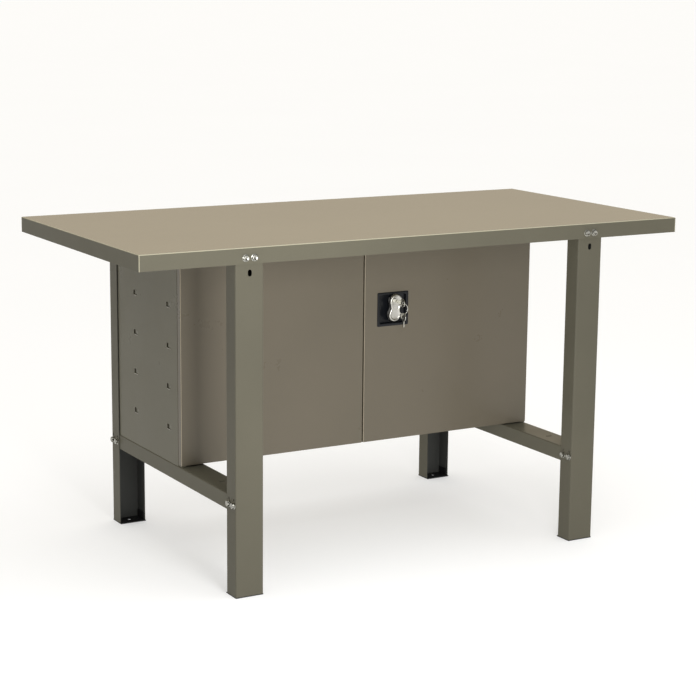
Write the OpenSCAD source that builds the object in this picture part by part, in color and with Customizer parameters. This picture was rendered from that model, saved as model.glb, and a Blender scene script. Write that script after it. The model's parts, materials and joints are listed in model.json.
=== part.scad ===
// Steel workbench with a two-door cabinet under the worktop.
// Origin: middle of the bench on the floor. X runs left to right, Y front to back, Z up.

/* [Worktop] */
// Length of the worktop, left to right
bench_w = 1500; // [1400:10:2000]
// Depth of the worktop, front to back
bench_d = 735; // [700:5:800]
// Height of the working surface above the floor
bench_h = 825; // [800:5:900]
// Height of the folded apron round the worktop
apron_h = 38; // [36:1:50]
// Thickness of the worktop sheet
top_t = 1.5; // [1.2:0.1:2]

/* [Legs] */
// Width of a leg, seen from the front
leg_w = 72; // [70:1:80]
// Depth of a leg, front to back
leg_d = 46; // [44:1:50]
// Sheet thickness of the legs and stretchers
leg_t = 2; // [1.5:0.1:2]
// Distance from the end of the worktop to the outer face of a leg
leg_inset = 235; // [225:1:240]

/* [Stretchers] */
// Height of the stretchers' top face above the floor
stretcher_top = 243; // [200:1:280]
// Height of a stretcher's folded side
stretcher_h = 38; // [36:1:45]

/* [Cabinet] */
// Distance of each cabinet side from the end of the worktop
cabinet_inset = 238; // [238:1:250]
// Distance of the door faces behind the front edge of the worktop
door_setback = 304; // [290:1:310]
// Depth of the cabinet with its doors
cabinet_d = 382; // [360:1:382]
// Height of the cabinet
cabinet_h = 545; // [540:1:545]
// Sheet thickness of the cabinet and doors
sheet_t = 1; // [0.8:0.1:1]

/* [Doors] */
// Depth of a folded door
door_t = 18; // [16:1:20]
// Gap between the two doors
door_gap = 4; // [3:0.5:5]

/* [Lock] */
// Centre of the turn handle's axis, to the right of the bench's middle
lock_x = 88; // [80:1:110]
// Height of the turn handle's axis above the floor
lock_z = 612; // [560:1:640]

/* [Hidden] */
$fn = 48;

paint = "#6f6c5c";
paint_dark = "#4c4b42";
zinc = "silver";
black = "#1c1d1f";
rubber = "#26262a";

eps = 0.01;
cut = 1; // how far a cutting solid reaches past the sheet it cuts

// Worktop
apron_z = bench_h - apron_h;
under_top = bench_h - top_t;
top_bend = 2.5;
hem_w = 12;
rail_w = 44;
rail_h = 25;
rail_flange = 13;
rail_l = bench_w - 60;
rail_y = 130;
rail_t = 1.2;

// Legs and feet
leg_x = bench_w / 2 - leg_inset - leg_w / 2;
leg_y = bench_d / 2 - top_t;
leg_bend = 3.5;
leg_top = under_top - 2.5;
foot_t = 2.5;
foot_wall_h = 22;
foot_wall_t = 2;
foot_toe = 5;
anchor_r = 5.5;
anchor_y = leg_y - leg_d / 2;
leg_slot_w = 10;
leg_slot_h = 16;
leg_slot_z = apron_z - 21;
brace_h = 44; // height of the cross plate that ties a leg's sides below the apron

// Stretchers
stretcher_w = leg_w - 2 * leg_t;
stretcher_l = 2 * (leg_y - leg_t) - 4;
stretcher_bend = 3;
flange_slot_l = 18;
flange_slot_w = 8;
flange_slot_y = 218;

// Bolts: M8 in the frame, M6 in the cabinet, M4 in the lock
m8_r = 4;
m8_hole_r = 4.25;
m8_flats = 13;
m8_head_h = 5.3;
m8_nut_h = 6.5;
m8_collar_r = 8.5;
m8_collar_h = 1.4;
m6_r = 3;
m6_hole_r = 3.3;
m6_flats = 10;
m6_head_h = 4;
m6_nut_h = 5;
apron_bolt_x = leg_x - 1;
apron_bolt_pitch = 22;
apron_bolt_z = bench_h - 24;
stretcher_bolt_y = [leg_y - 10, leg_y - 35];
stretcher_bolt_z = stretcher_top - 20;
spare_hole_z = stretcher_top - 7;
spare_hole_r = 3;
cabinet_bolt_x = leg_x;
cabinet_bolt_y = [30, 250];

// Cabinet
cab_x = bench_w / 2 - cabinet_inset;
door_front = -bench_d / 2 + door_setback;
door_back = door_front + door_t;
carcass_gap = 1;
carcass_y = door_back + carcass_gap;
back_y = door_front + cabinet_d;
cab_z = stretcher_top;
roof_z = cab_z + cabinet_h;
side_z = cab_z + sheet_t;
side_h = cabinet_h - 2 * sheet_t;
side_flange = 20;
side_flange_clear = 7;
back_flange = 15;
stop_h = 15;
stop_l = 2 * (cab_x - 30);

// Punched shelf tabs: a window in the side whose tongue is bent inwards
tab_rows = [for (i = [0:3]) 332 + 102 * i];
tab_columns = [6, 206];
tab_l = 24;
tab_h = 12;
tab_clear = 0.6;
tab_angle = 6;
tab_root = 0.1; // how deep the tongue's root sits in the panel
shelf_row = 2;
shelf_z = tab_rows[shelf_row] + tab_h / 2 - tab_clear;
shelf_edge_h = 20;
shelf_gap = 1;

// Hinges
pivot_x = cab_x - 5;
pivot_y = door_front + door_t / 2;
pin_r = 3;
pin_clear = 0.06;
pin_l = 10;
bracket_t = 2.5;
bracket_w = 13;
bracket_nose = 7;
bracket_tail = 62;
washer_t = 1;
washer_r = 4.8;

// Doors
door_w = cab_x - door_gap / 2;
door_cx = door_gap / 2 + door_w / 2;
door_z = side_z + bracket_t + washer_t;
door_h = roof_z - sheet_t - bracket_t - washer_t - door_z;
door_bend = 2;
door_side_lip = 34;
door_end_lip = 32;
stiffener_w = 46;
stiffener_x = 300;
stiffener_flange = 12;
stiffener_h = door_t - 2 * sheet_t - 3;
bumper_x = 40;
bumper_r = 5;

// Lock
plate_w = 92;
plate_h = 88;
plate_x = lock_x - 2.5;
plate_z = lock_z - 21;
plate_t = 1.6;
dish_w = plate_w - 14;
dish_h = plate_h - 14;
dish_depth = 9;
dish_wall = 1.4;
dish_gap = 1;
case_w = 56;
case_h = 62;
case_drop = 6; // how far the case's middle lies below the handle's axis
case_y = door_front + dish_depth + dish_wall;
case_back = door_back + 0.4;
barrel_r = 9;
barrel_clear = 0.06;
handle_gap = 1.4;
handle_t = 12.5;
handle_y = door_front - plate_t - handle_gap - handle_t;
handle_head_r = 18;
handle_foot_r = 17;
handle_reach = 35;
handle_waist_r = 22;
handle_lean = 7;
barrel_y = handle_y - 1;
cam_y = case_back + 0.3;
cam_t = 2;
cam_r = 13;
cam_pin_r = 2.5;
cam_pin_l = 3.2;
cam_plate_w = 12;
cam_screw_r = 3.5;
cam_screw_l = 2.4;

// Locking rods: flat strips behind the doors' lips, in reach of the cabinet's stop lips
rod_y = carcass_y + sheet_t + 1.2;
rod_t = 2;
rod_w = 14;
rod_offset = cam_r * (1 + cos(45)) / 2;
rod_travel = cam_r * 2 * sin(45);
rod_reach = rod_travel + 3.6;
rod_rest = cam_r * sin(45);
rod_end = 7;
rod_slot_w = cam_r * (1 - cos(45)) + 2 * cam_pin_r + 0.8;
rod_slot_h = 2 * cam_pin_r + 1.1;
guide_h = 12;
guide_gap = 0.4;
guide_wall = 1.5;
guide_foot = 8;

// Slide bolt on the left door
bolt_x = -19;
bolt_w = 9;
bolt_t = 3;
bolt_l = 105;
bolt_guide_z = [104, 20];
bolt_knob_z = 62;
bolt_knob_r = 4;
bolt_knob_l = 8;

// Key, plug and ring
plug_r = 5.5;
plug_clear = 0.06;
plug_l = 30;
blade_w = 8;
blade_t = 2;
blade_in = 12; // how deep the blade reaches into the plug
spare_l = 27;
bow_r = 11;
bow_hole_r = 4.2;
bow_hole_offset = 5.4;
bow_reach = 32.5; // from the barrel's face to the hole in the bow
ring_r = 13;
wire_r = 0.8;
ring_drop = 2;
ring_y = barrel_y - bow_reach;

// ---------- Shared shapes ----------

// Rectangle centred on X, standing on Y = 0, with corners of radius r
module round_rect(w, h, r) {
    translate([-w / 2 + r, 0]) square([w - 2 * r, h]);
    translate([-w / 2, r]) square([w, h - 2 * r]);
    for (x = [-1, 1], y = [r, h - r])
        translate([x * (w / 2 - r), y]) circle(r);
}

// Folded channel: web on Y = 0, sides running back by d, thickness t, outer bend radius r
module channel_section(w, d, t, r) {
    difference() {
        round_rect(w, d + r, r);
        translate([0, t]) round_rect(w - 2 * t, d + r, r - t);
        translate([-w, d]) square([2 * w, d]);
    }
}

// Hat section: crown on Y = 0, flanges turned out at Y = h
module hat_section(w, h, t, flange) {
    difference() {
        translate([-w / 2, 0]) square([w, h]);
        translate([-w / 2 + t, t]) square([w - 2 * t, h]);
    }
    for (side = [-1, 1])
        translate([side * (w + flange) / 2 - flange / 2, h - t]) square([flange, t]);
}

// Round bar or hole along X, Y or Z, from the given point
module bar_x(r, l) { rotate([0, 90, 0]) cylinder(r = r, h = l); }
module bar_y(r, l) { rotate([-90, 0, 0]) cylinder(r = r, h = l); }

// Upright slot of width w and height h, cut along Y
module slot_y(w, h, l) {
    for (side = [-1, 1])
        translate([0, 0, side * (h - w) / 2]) bar_y(w / 2, l);
    translate([-w / 2, 0, -(h - w) / 2]) cube([w, l, h - w]);
}

// Hexagon standing on Z = 0, with the given distance across its flats
module hex(flats, h) { cylinder(r = flats / 2 / cos(30), h = h, $fn = 6); }

// Flanged hexagon bolt along Z: its seat is on Z = 0, its head above and its shank below
module flange_bolt(shank_l) {
    cylinder(r = m8_collar_r, h = m8_collar_h);
    translate([0, 0, m8_collar_h - eps]) hex(m8_flats, m8_head_h);
    translate([0, 0, -shank_l]) cylinder(r = m8_r, h = shank_l + eps);
}

// Hexagon bolt along Z, seated on Z = 0
module hex_bolt(flats, head_h, r, shank_l) {
    hex(flats, head_h);
    translate([0, 0, -shank_l]) cylinder(r = r, h = shank_l + eps);
}

// Hexagon nut below Z = 0
module hex_nut(flats, h, r) {
    translate([0, 0, -h]) difference() {
        hex(flats, h);
        translate([0, 0, -cut]) cylinder(r = r, h = h + 2 * cut);
    }
}

// Places a shape drawn at the front right corner at the corner given by the signs sx and sy
module corner(sx, sy) {
    mirror([sx < 0 ? 1 : 0, 0, 0]) mirror([0, sy > 0 ? 1 : 0, 0]) children();
}

module at_corners() {
    for (sx = [-1, 1], sy = [-1, 1])
        corner(sx, sy) children();
}

module on_side(sx) { mirror([sx < 0 ? 1 : 0, 0, 0]) children(); }

// ---------- Worktop ----------

// Block with its four upper edges rounded, standing on Z = 0
module tray_block(w, d, h, r) {
    intersection() {
        rotate([90, 0, 0]) linear_extrude(height = d, center = true) tray_outline(w, h, r);
        rotate([90, 0, 90]) linear_extrude(height = w, center = true) tray_outline(d, h, r);
    }
}

module tray_outline(w, h, r) {
    translate([-w / 2, 0]) square([w, h - r]);
    translate([-w / 2 + r, 0]) square([w - 2 * r, h]);
    for (side = [-1, 1])
        translate([side * (w / 2 - r), h - r]) circle(r);
}

module apron_holes() {
    at_corners()
        for (side = [-1, 1])
            translate([apron_bolt_x + side * apron_bolt_pitch / 2, -leg_y - top_t - cut, apron_bolt_z])
                bar_y(m8_hole_r, top_t + leg_t + 2 * cut);
}

module worktop() {
    inner_w = bench_w - 2 * top_t;
    inner_d = bench_d - 2 * top_t;
    color(paint) difference() {
        translate([0, 0, apron_z]) tray_block(bench_w, bench_d, apron_h, top_bend);
        translate([0, 0, apron_z + top_t])
            tray_block(inner_w, inner_d, apron_h - 2 * top_t, top_bend - top_t);
        translate([-inner_w / 2 + hem_w, -inner_d / 2 + hem_w, apron_z - cut])
            cube([inner_w - 2 * hem_w, inner_d - 2 * hem_w, top_t + 2 * cut]);
        at_corners()
            translate([leg_x - leg_w / 2 - 1, -leg_y, apron_z - cut])
                cube([leg_w + 2, leg_d, top_t + 2 * cut]);
        apron_holes();
    }
}

module top_rail(y) {
    color(paint_dark) translate([-rail_l / 2, y, under_top - rail_h])
        rotate([90, 0, 90]) linear_extrude(height = rail_l) hat_section(rail_w, rail_h, rail_t, rail_flange);
}

module top_rail_front() { top_rail(-rail_y); }
module top_rail_rear() { top_rail(rail_y); }

// ---------- Legs, feet and stretchers ----------

// Bolt holes through a leg's side and the stretcher's side behind it
// face is -1 or 1 for the side that they are in
module stretcher_bolt_holes(face) {
    for (y = stretcher_bolt_y)
        translate([leg_x + face * (leg_w / 2 - leg_t) - leg_t - cut, -y, stretcher_bolt_z])
            bar_x(m8_hole_r, 2 * (leg_t + cut));
}

module leg(sx, sy) {
    color(paint) corner(sx, sy) difference() {
        union() {
            translate([leg_x, -leg_y, foot_t]) linear_extrude(height = leg_top - foot_t)
                channel_section(leg_w, leg_d, leg_t, leg_bend);
            translate([leg_x - leg_w / 2 + leg_t, -leg_y + leg_d - leg_t, apron_z - brace_h])
                cube([leg_w - 2 * leg_t, leg_t, brace_h]);
        }
        apron_holes();
        translate([apron_bolt_x, -leg_y - cut, leg_slot_z])
            slot_y(leg_slot_w, leg_slot_h, leg_t + 2 * cut);
        stretcher_bolt_holes(-sx);
        for (y = stretcher_bolt_y)
            translate([leg_x - sx * (leg_w - leg_t) / 2 - leg_t / 2 - cut, -y, spare_hole_z])
                bar_x(spare_hole_r, leg_t + 2 * cut);
    }
}

module leg_front_left() { leg(-1, -1); }
module leg_front_right() { leg(1, -1); }
module leg_rear_left() { leg(-1, 1); }
module leg_rear_right() { leg(1, 1); }

// Foot plate with two walls inside the leg, a toe on the open side and a hole for a floor anchor
module foot(sx, sy) {
    wall_x = leg_w / 2 - leg_t;
    color(black) corner(sx, sy) difference() {
        union() {
            translate([leg_x - leg_w / 2, -leg_y, 0]) cube([leg_w, leg_d + foot_toe, foot_t]);
            for (side = [-1, 1])
                translate([leg_x + side * (wall_x - foot_wall_t / 2), 0, 0])
                    translate([-foot_wall_t / 2, -leg_y + leg_bend + 1, 0])
                        cube([foot_wall_t, leg_d - 2 * leg_bend - 2, foot_wall_h]);
        }
        translate([leg_x, -anchor_y, -cut]) cylinder(r = anchor_r, h = foot_t + 2 * cut);
    }
}

module foot_front_left() { foot(-1, -1); }
module foot_front_right() { foot(1, -1); }
module foot_rear_left() { foot(-1, 1); }
module foot_rear_right() { foot(1, 1); }

module flange_slot(x, y) {
    translate([x, y, stretcher_top - leg_t - cut])
        linear_extrude(height = leg_t + 2 * cut) {
            square([flange_slot_l - flange_slot_w, flange_slot_w], center = true);
            for (side = [-1, 1])
                translate([side * (flange_slot_l - flange_slot_w) / 2, 0]) circle(flange_slot_w / 2);
        }
}

module stretcher(sx) {
    color(paint) on_side(sx) difference() {
        translate([leg_x, stretcher_l / 2, stretcher_top]) rotate([90, 0, 0]) mirror([0, 1, 0])
            linear_extrude(height = stretcher_l)
                channel_section(stretcher_w, stretcher_h, leg_t, stretcher_bend);
        for (sy = [-1, 1])
            mirror([0, sy > 0 ? 1 : 0, 0]) stretcher_bolt_holes(-sx);
        for (y = concat([-flange_slot_y], cabinet_bolt_y))
            flange_slot(cabinet_bolt_x, y);
    }
}

module stretcher_left() { stretcher(-1); }
module stretcher_right() { stretcher(1); }

// ---------- Cabinet ----------

module cabinet_floor() {
    color(paint) difference() {
        translate([-cab_x, carcass_y, cab_z]) cube([2 * cab_x, back_y - carcass_y, sheet_t]);
        for (sx = [-1, 1], y = cabinet_bolt_y)
            translate([sx * cabinet_bolt_x, y, cab_z - cut]) cylinder(r = m6_hole_r, h = sheet_t + 2 * cut);
    }
}

module cabinet_roof() {
    color(paint) translate([-cab_x, carcass_y, roof_z - sheet_t])
        cube([2 * cab_x, back_y - carcass_y, sheet_t]);
}

module cabinet_back() {
    color(paint) translate([-cab_x + sheet_t, back_y - sheet_t, side_z])
        cube([2 * (cab_x - sheet_t), sheet_t, side_h]);
}

module cabinet_side(sx) {
    inner_x = cab_x - sheet_t;
    color(paint) on_side(sx) {
        difference() {
            union() {
                translate([inner_x, carcass_y, side_z]) cube([sheet_t, back_y - carcass_y, side_h]);
                translate([cab_x - side_flange, carcass_y, side_z + side_flange_clear])
                    cube([side_flange, sheet_t, side_h - 2 * side_flange_clear]);
                translate([cab_x - back_flange, back_y - 2 * sheet_t, side_z])
                    cube([back_flange, sheet_t, side_h]);
            }
            for (y = tab_columns, z = tab_rows)
                translate([inner_x - cut, y - tab_l / 2, z - tab_h / 2])
                    cube([sheet_t + 2 * cut, tab_l, tab_h]);
        }
        for (y = tab_columns, z = tab_rows)
            translate([cab_x - tab_root, y - tab_l / 2 - 3 * tab_root, z - tab_h / 2 + tab_clear])
                rotate([0, 0, tab_angle]) translate([-sheet_t, 0, 0])
                    cube([sheet_t, tab_l - tab_clear, tab_h - 2 * tab_clear]);
    }
}

// Strip welded along the front edge of the floor or roof; the doors shut against it
module door_stop(z) {
    color(paint) translate([-stop_l / 2, carcass_y, z]) cube([stop_l, sheet_t, stop_h]);
}

module door_stop_lower() { door_stop(side_z); }
module door_stop_upper() { door_stop(roof_z - sheet_t - stop_h); }

module cabinet_side_left() { cabinet_side(-1); }
module cabinet_side_right() { cabinet_side(1); }

module shelf() {
    shelf_x = cab_x - sheet_t - shelf_gap;
    shelf_front = carcass_y + sheet_t + 12;
    shelf_back = back_y - 2 * sheet_t - shelf_gap;
    shelf_t = sheet_t;
    color(paint) {
        translate([-shelf_x, shelf_front, shelf_z]) cube([2 * shelf_x, shelf_back - shelf_front, shelf_t]);
        for (y = [shelf_front, shelf_back - shelf_t])
            translate([-shelf_x, y, shelf_z + shelf_t - shelf_edge_h])
                cube([2 * shelf_x, shelf_t, shelf_edge_h]);
    }
}

// ---------- Hinges ----------

// Heights of the lower and upper hinge: where the bracket lies, and which way its pin points
function bracket_z(upper) = upper ? roof_z - sheet_t - bracket_t : side_z;
function washer_z(upper) = upper ? bracket_z(true) - washer_t : side_z + bracket_t;
function pin_z(upper) = upper ? bracket_z(true) - pin_l : side_z;

module hinge_bracket(sx, upper) {
    color(zinc) on_side(sx) difference() {
        translate([cab_x - sheet_t - bracket_w, pivot_y - bracket_nose, bracket_z(upper)])
            cube([bracket_w, bracket_tail, bracket_t]);
        translate([pivot_x, pivot_y, bracket_z(upper) - cut]) cylinder(r = pin_r, h = bracket_t + 2 * cut);
    }
}

module hinge_bracket_left_lower() { hinge_bracket(-1, false); }
module hinge_bracket_left_upper() { hinge_bracket(-1, true); }
module hinge_bracket_right_lower() { hinge_bracket(1, false); }
module hinge_bracket_right_upper() { hinge_bracket(1, true); }

module hinge_pins() {
    color(zinc) for (sx = [-1, 1], upper = [false, true])
        translate([sx * pivot_x, pivot_y, pin_z(upper)]) cylinder(r = pin_r, h = pin_l + bracket_t);
}

module hinge_washers() {
    color(black) for (sx = [-1, 1], upper = [false, true])
        translate([sx * pivot_x, pivot_y, washer_z(upper)]) difference() {
            cylinder(r = washer_r, h = washer_t);
            translate([0, 0, -cut]) cylinder(r = pin_r, h = washer_t + 2 * cut);
        }
}

module door_bumpers() {
    bumper_t = carcass_gap - 0.2;
    color(rubber) for (sx = [-1, 1], z = [cab_z + 10, roof_z - 10])
        translate([sx * bumper_x, carcass_y - bumper_t, z]) bar_y(bumper_r, bumper_t);
}

// ---------- Doors ----------

// Folded door pan drawn for the right side, open at the back inside its lips
module door_pan() {
    difference() {
        translate([door_cx, door_front, door_z]) linear_extrude(height = door_h)
            round_rect(door_w, door_t, door_bend);
        translate([door_cx, door_front + sheet_t, door_z + sheet_t])
            linear_extrude(height = door_h - 2 * sheet_t)
                round_rect(door_w - 2 * sheet_t, door_t - 2 * sheet_t, door_bend - sheet_t);
        translate([door_gap / 2 + door_side_lip, door_back - sheet_t - cut / 2, door_z + door_end_lip])
            cube([door_w - 2 * door_side_lip, sheet_t + cut, door_h - 2 * door_end_lip]);
        translate([pivot_x, pivot_y, door_z - cut]) cylinder(r = pin_r + pin_clear, h = door_h + 2 * cut);
    }
}

module door_stiffener() {
    color(paint_dark) translate([stiffener_x, door_front + sheet_t + stiffener_h, door_z + door_end_lip / 2])
        linear_extrude(height = door_h - door_end_lip) mirror([0, 1, 0])
            hat_section(stiffener_w - 2 * stiffener_flange, stiffener_h, rail_t, stiffener_flange);
}

module door_left() { color(paint) on_side(-1) door_pan(); }
module door_stiffener_left() { on_side(-1) door_stiffener(); }
module door_stiffener_right() { door_stiffener(); }

module door_right() {
    opening_w = dish_w + 2 * (dish_wall + dish_gap);
    opening_h = dish_h + 2 * (dish_wall + dish_gap);
    color(paint) difference() {
        door_pan();
        translate([plate_x - opening_w / 2, door_front - cut, plate_z - opening_h / 2])
            cube([opening_w, sheet_t + 2 * cut, opening_h]);
    }
}

// U-shaped guide over a flat bar of width w and thickness t, whose foot lies on the door's lip
module bar_guide(w, t) {
    room_w = w + 2 * guide_gap;
    room_t = rod_y + t + guide_gap - door_back;
    outer_w = room_w + 2 * guide_wall;
    translate([0, door_back, -guide_h / 2]) difference() {
        translate([-outer_w / 2, 0, 0]) cube([outer_w, room_t + guide_wall, guide_h]);
        translate([-room_w / 2, -cut, -cut]) cube([room_w, room_t + cut, guide_h + 2 * cut]);
    }
    for (side = [-1, 1])
        translate([side * (outer_w + guide_foot) / 2 - guide_foot / 2, door_back, -guide_h / 2])
            cube([guide_foot, guide_wall, guide_h]);
}

module bolt_guides() {
    color(zinc) for (below = bolt_guide_z)
        translate([bolt_x, 0, door_z + door_h - below]) bar_guide(bolt_w, bolt_t);
}

module slide_bolt() {
    tip_z = roof_z - sheet_t - rod_reach;
    color(zinc) {
        translate([bolt_x - bolt_w / 2, rod_y, tip_z - bolt_l]) cube([bolt_w, bolt_t, bolt_l]);
        translate([bolt_x, rod_y + bolt_t - eps, tip_z - bolt_knob_z]) bar_y(bolt_knob_r, bolt_knob_l);
    }
}

// ---------- Lock ----------

// Square plate with a dish pressed into it; the handle's shaft turns in its floor
module lock_plate() {
    color(black) difference() {
        union() {
            translate([plate_x, door_front - plate_t, plate_z - plate_h / 2])
                translate([-plate_w / 2, 0, 0]) cube([plate_w, plate_t, plate_h]);
            translate([plate_x - dish_w / 2 - dish_wall, door_front - eps, plate_z - dish_h / 2 - dish_wall])
                cube([dish_w + 2 * dish_wall, dish_depth + dish_wall + eps, dish_h + 2 * dish_wall]);
        }
        translate([plate_x - dish_w / 2, door_front - plate_t - cut, plate_z - dish_h / 2])
            cube([dish_w, dish_depth + plate_t + cut, dish_h]);
        translate([lock_x, door_front, lock_z]) bar_y(barrel_r + barrel_clear, door_t);
    }
}

module lock_case() {
    color(zinc) difference() {
        translate([lock_x - case_w / 2, case_y, lock_z - case_h / 2 - case_drop])
            cube([case_w, case_back - case_y, case_h]);
        translate([lock_x, case_y - cut, lock_z]) bar_y(barrel_r + barrel_clear, door_t);
    }
}

// The handle's outline: a round head and a round foot
// The arcs of the waist between them meet both smoothly
module handle_outline() {
    head_to_waist = handle_head_r + handle_waist_r;
    foot_to_waist = handle_foot_r + handle_waist_r;
    waist_z = (foot_to_waist * foot_to_waist - head_to_waist * head_to_waist - handle_reach * handle_reach)
        / (2 * handle_reach);
    waist_x = sqrt(head_to_waist * head_to_waist - waist_z * waist_z);
    head_meet = [waist_x, waist_z] * handle_head_r / head_to_waist;
    foot_meet = [waist_x, waist_z + handle_reach] * handle_foot_r / foot_to_waist - [0, handle_reach];
    circle(handle_head_r);
    translate([0, -handle_reach]) circle(handle_foot_r);
    difference() {
        polygon([head_meet, foot_meet, [-foot_meet[0], foot_meet[1]], [-head_meet[0], head_meet[1]]]);
        for (side = [-1, 1])
            translate([side * waist_x, waist_z]) circle(handle_waist_r);
    }
}

module turn_handle() {
    color(zinc) difference() {
        translate([lock_x, handle_y + handle_t, lock_z]) rotate([90, handle_lean, 0])
            linear_extrude(height = handle_t) handle_outline();
        translate([lock_x, handle_y - cut, lock_z]) bar_y(barrel_r, handle_t + 2 * cut);
    }
}

module lock_barrel() {
    color(zinc) difference() {
        translate([lock_x, barrel_y, lock_z]) bar_y(barrel_r, cam_y - barrel_y);
        translate([lock_x, barrel_y - cut, lock_z]) bar_y(plug_r + plug_clear, plug_l + cut);
    }
}

// Cam on the back of the barrel: its two pins drive the rods in opposite directions
module lock_cam() {
    color(zinc) translate([lock_x, cam_y, lock_z]) {
        rotate([0, 45, 0]) translate([-cam_r, 0, -cam_plate_w / 2]) cube([2 * cam_r, cam_t, cam_plate_w]);
        for (turn = [45, 225])
            rotate([0, turn, 0]) translate([cam_r, 0, 0]) {
                bar_y(cam_plate_w / 2, cam_t);
                bar_y(cam_pin_r, cam_t + cam_pin_l);
            }
    }
}

module cam_screw() {
    color(zinc) translate([lock_x, cam_y + cam_t, lock_z]) bar_y(cam_screw_r, cam_screw_l);
}

// Flat rod drawn for the upper side, with its slot over the cam's pin; mirrored for the lower one
module lock_rod(length) {
    difference() {
        translate([rod_offset - rod_w / 2, rod_y, -rod_rest - rod_end]) cube([rod_w, rod_t, length]);
        translate([rod_offset - rod_slot_w / 2, rod_y - cut, -rod_rest - rod_slot_h / 2])
            cube([rod_slot_w, rod_t + 2 * cut, rod_slot_h]);
    }
}

module rod_upper() {
    tip_z = roof_z - sheet_t - rod_reach;
    color(zinc) translate([lock_x, 0, lock_z]) lock_rod(tip_z - lock_z + rod_rest + rod_end);
}

module rod_lower() {
    tip_z = side_z + rod_reach;
    color(zinc) translate([lock_x, 0, lock_z]) rotate([0, 180, 0])
        lock_rod(lock_z - tip_z + rod_rest + rod_end);
}

module rod_guides() {
    inset = door_end_lip - guide_h / 2 - 3;
    color(zinc) {
        translate([lock_x + rod_offset, 0, door_z + door_h - inset]) bar_guide(rod_w, rod_t);
        translate([lock_x - rod_offset, 0, door_z + inset]) bar_guide(rod_w, rod_t);
    }
}

// ---------- Keys ----------

module barrel_plug() {
    color("gold") difference() {
        translate([lock_x, barrel_y, lock_z]) bar_y(plug_r, plug_l);
        translate([lock_x - blade_t / 2, barrel_y - cut, lock_z - blade_w / 2])
            cube([blade_t, blade_in + cut, blade_w]);
    }
}

// Flat key hanging from the origin: the hole in its bow is centred there and its blade points down
module key(blade) {
    rotate([0, 90, 0]) translate([0, 0, -blade_t / 2]) linear_extrude(height = blade_t) difference() {
        union() {
            translate([bow_hole_offset, 0]) circle(bow_r);
            translate([bow_hole_offset, -blade_w / 2]) square([blade, blade_w]);
        }
        circle(bow_hole_r);
    }
}

module lock_key() {
    color("silver") translate([lock_x, ring_y, lock_z]) rotate([90, 0, 0])
        key(bow_reach - bow_hole_offset + blade_in);
}

module key_ring() {
    color("silver") translate([lock_x, ring_y, lock_z - ring_drop - ring_r])
        rotate([90, 0, 0]) rotate_extrude() translate([ring_r, 0]) circle(wire_r);
}

module spare_key() {
    color("silver") translate([lock_x, ring_y, lock_z - 2 * ring_drop - 2 * ring_r]) key(spare_l);
}

// ---------- Fasteners ----------

module apron_bolts() {
    color(zinc) at_corners() for (side = [-1, 1])
        translate([apron_bolt_x + side * apron_bolt_pitch / 2, -leg_y - top_t, apron_bolt_z])
            rotate([90, 0, 0]) flange_bolt(14);
}

module apron_nuts() {
    color(zinc) at_corners() for (side = [-1, 1])
        translate([apron_bolt_x + side * apron_bolt_pitch / 2, -leg_y + leg_t, apron_bolt_z])
            rotate([90, 0, 0]) hex_nut(m8_flats, m8_nut_h, m8_r);
}

// Places a bolt or nut drawn along Z on the left side face of every leg, depth in from the face
module at_stretcher_bolts(depth) {
    for (sx = [-1, 1], sy = [-1, 1], y = stretcher_bolt_y)
        translate([sx * leg_x - leg_w / 2 + depth, sy * y, stretcher_bolt_z]) rotate([0, -90, 0]) children();
}

module stretcher_bolts() { color(zinc) at_stretcher_bolts(0) flange_bolt(13); }

module stretcher_nuts() { color(zinc) at_stretcher_bolts(2 * leg_t) hex_nut(m8_flats, m8_nut_h, m8_r); }

module cabinet_bolts() {
    color(zinc) for (sx = [-1, 1], y = cabinet_bolt_y)
        translate([sx * cabinet_bolt_x, y, side_z]) hex_bolt(m6_flats, m6_head_h, m6_r, 12);
}

module cabinet_nuts() {
    color(zinc) for (sx = [-1, 1], y = cabinet_bolt_y)
        translate([sx * cabinet_bolt_x, y, stretcher_top - leg_t]) hex_nut(m6_flats, m6_nut_h, m6_r);
}

worktop();
top_rail_front();
top_rail_rear();
leg_front_left();
leg_front_right();
leg_rear_left();
leg_rear_right();
foot_front_left();
foot_front_right();
foot_rear_left();
foot_rear_right();
stretcher_left();
stretcher_right();
cabinet_floor();
cabinet_roof();
cabinet_back();
cabinet_side_left();
cabinet_side_right();
shelf();
door_stop_lower();
door_stop_upper();
hinge_bracket_left_lower();
hinge_bracket_left_upper();
hinge_bracket_right_lower();
hinge_bracket_right_upper();
hinge_pins();
hinge_washers();
door_bumpers();
door_left();
door_stiffener_left();
bolt_guides();
slide_bolt();
door_right();
door_stiffener_right();
lock_plate();
lock_case();
rod_guides();
rod_upper();
rod_lower();
turn_handle();
lock_barrel();
lock_cam();
cam_screw();
barrel_plug();
lock_key();
key_ring();
spare_key();
apron_bolts();
apron_nuts();
stretcher_bolts();
stretcher_nuts();
cabinet_bolts();
cabinet_nuts();
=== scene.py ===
"""Looks for the steel workbench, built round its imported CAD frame. All lengths are in metres."""

import math
import random

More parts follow.
